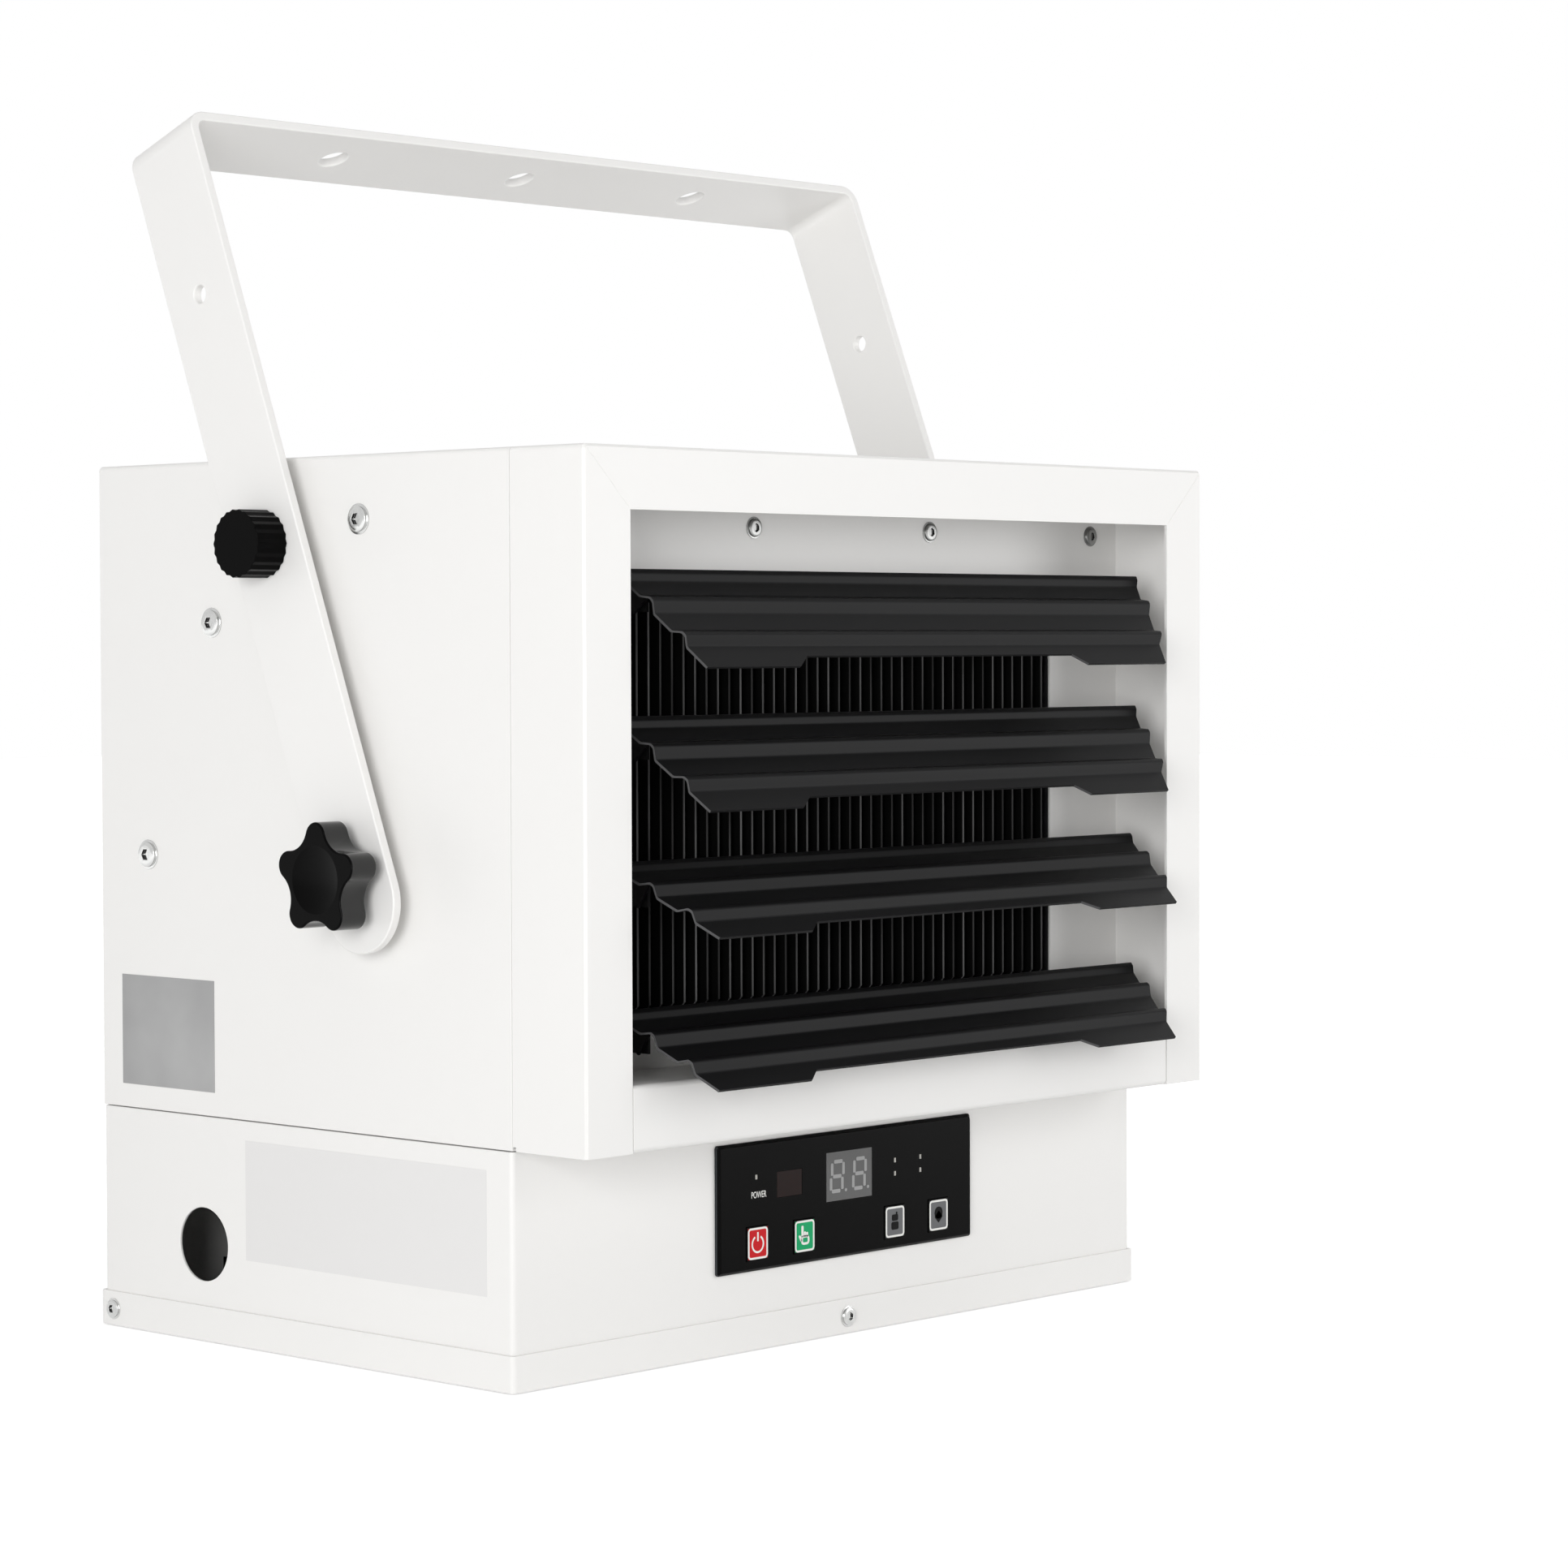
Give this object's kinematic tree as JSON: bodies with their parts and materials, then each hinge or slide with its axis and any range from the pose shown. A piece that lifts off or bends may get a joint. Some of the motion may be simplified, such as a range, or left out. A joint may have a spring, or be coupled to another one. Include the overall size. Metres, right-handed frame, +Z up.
{
  "type": "garage heater",
  "caption": "Electric fan heater in a white sheet-steel cabinet with tilting louvres, a control base and a U-shaped tilt bracket for wall or ceiling.",
  "frame": {"origin": "centre of the base's underside", "axes": "+Z up, front with the louvres towards -Y, +X to the right as seen from the front"},
  "size_m": [0.4314, 0.3045, 0.4874],
  "materials": {
    "white_coat": "satin powder coat",
    "inner_sheet": "galvanised",
    "louvre_coat": "satin dark grey coat",
    "fin_coat": "matt heat-proof black",
    "element_sheath": "oxidised",
    "zinc": "zinc plated",
    "black_plastic": "moulded",
    "panel_black": "gloss",
    "key_red": "gloss",
    "key_green": "gloss",
    "key_grey": "gloss",
    "dark_lens": "tinted",
    "lamp_pipe": "clear",
    "board": "glass fibre board",
    "lamination": "varnished stack",
    "fan_metal": "rolled"
  },
  "bodies": {
    "cabinet": {"cabinet_wrap": "white_coat", "rear_panel": "white_coat", "rear_panel_screws": "zinc", "front_hood": "white_coat", "hood_bottom_rail": "white_coat", "outlet_panel": "white_coat", "outlet_panel_screws": "zinc", "louvre_brackets": "louvre_coat", "heater_fins": "fin_coat", "heating_element_upper": "element_sheath", "heating_element_lower": "element_sheath", "element_end_plate_left": "inner_sheet", "element_end_plate_right": "inner_sheet", "thermal_cutout": "black_plastic", "chamber_floor": "inner_sheet", "fan_orifice": "inner_sheet", "fan_motor": "lamination", "motor_bracket": "inner_sheet", "base_box": "white_coat", "base_tray": "white_coat", "tray_screws": "zinc", "control_panel": "panel_black", "key_switches": "black_plastic", "display_window": "dark_lens", "display_module": "black_plastic", "ir_window": "dark_lens", "indicator_lights": "lamp_pipe", "control_board": "board", "board_standoffs": "black_plastic", "power_board": "board", "relays": "black_plastic", "transformer": "lamination", "terminal_block": "black_plastic", "earth_screw": "zinc", "side_plug_screws": "zinc", "pivot_spacers": "zinc", "pivot_nuts": "zinc"},
    "mounting_bracket": {"mounting_bracket": "white_coat"},
    "star_knob_left": {"star_knob_left": "black_plastic"},
    "star_knob_right": {"star_knob_right": "black_plastic"},
    "thumb_knob_left": {"thumb_knob_left": "black_plastic"},
    "thumb_knob_right": {"thumb_knob_right": "black_plastic"},
    "louvre_1": {"louvre_1": "louvre_coat"},
    "louvre_2": {"louvre_2": "louvre_coat"},
    "louvre_3": {"louvre_3": "louvre_coat"},
    "louvre_4": {"louvre_4": "louvre_coat"},
    "fan": {"fan_blade": "fan_metal", "fan_shaft": "zinc"},
    "key_power": {"key_power": "key_red"},
    "key_manual": {"key_manual": "key_green"},
    "key_mode": {"key_mode": "key_grey"},
    "key_heat": {"key_heat": "key_grey"}
  },
  "joints": [
    {"name": "bracket_tilt", "type": "hinge", "parent": "cabinet", "child": "mounting_bracket", "pos_m": [0, -0.0461, 0.189], "axis": [-1, 0, 0], "range_deg": [-17.7, 67.1]},
    {"name": "star_knob_left_turn", "type": "hinge", "parent": "cabinet", "child": "star_knob_left", "pos_m": [-0.2, -0.0461, 0.189], "axis": [-1, 0, 0], "continuous": true},
    {"name": "star_knob_right_turn", "type": "hinge", "parent": "cabinet", "child": "star_knob_right", "pos_m": [0.2, -0.0461, 0.189], "axis": [1, 0, 0], "continuous": true},
    {"name": "thumb_knob_left_turn", "type": "hinge", "parent": "mounting_bracket", "child": "thumb_knob_left", "pos_m": [-0.2, 0.00326, 0.31626], "axis": [-1, 0, 0], "continuous": true},
    {"name": "thumb_knob_right_turn", "type": "hinge", "parent": "mounting_bracket", "child": "thumb_knob_right", "pos_m": [0.2, 0.00326, 0.31626], "axis": [1, 0, 0], "continuous": true},
    {"name": "louvre_1_tilt", "type": "hinge", "parent": "cabinet", "child": "louvre_1", "pos_m": [0, -0.1418, 0.2941], "axis": [-1, 0, 0], "range_deg": [-10.3, 39.7]},
    {"name": "louvre_2_tilt", "type": "hinge", "parent": "cabinet", "child": "louvre_2", "pos_m": [0, -0.1418, 0.2392], "axis": [-1, 0, 0], "range_deg": [-13.6, 36.4]},
    {"name": "louvre_3_tilt", "type": "hinge", "parent": "cabinet", "child": "louvre_3", "pos_m": [0, -0.1418, 0.1843], "axis": [-1, 0, 0], "range_deg": [-26.4, 23.6]},
    {"name": "louvre_4_tilt", "type": "hinge", "parent": "cabinet", "child": "louvre_4", "pos_m": [0, -0.1418, 0.1294], "axis": [-1, 0, 0], "range_deg": [-24.5, 25.5]},
    {"name": "fan_spin", "type": "hinge", "parent": "cabinet", "child": "fan", "pos_m": [0, 0.0121, 0.22], "axis": [0, 1, 0], "continuous": true},
    {"name": "key_power_press", "type": "slide", "parent": "cabinet", "child": "key_power", "axis": [0, 1, 0], "range_m": [0, 0.0005], "stiffness_N_per_m": 2000, "springref_m": -0.0002},
    {"name": "key_manual_press", "type": "slide", "parent": "cabinet", "child": "key_manual", "axis": [0, 1, 0], "range_m": [0, 0.0005], "stiffness_N_per_m": 2000, "springref_m": -0.0002},
    {"name": "key_mode_press", "type": "slide", "parent": "cabinet", "child": "key_mode", "axis": [0, 1, 0], "range_m": [0, 0.0005], "stiffness_N_per_m": 2000, "springref_m": -0.0002},
    {"name": "key_heat_press", "type": "slide", "parent": "cabinet", "child": "key_heat", "axis": [0, 1, 0], "range_m": [0, 0.0005], "stiffness_N_per_m": 2000, "springref_m": -0.0002}
  ]
}
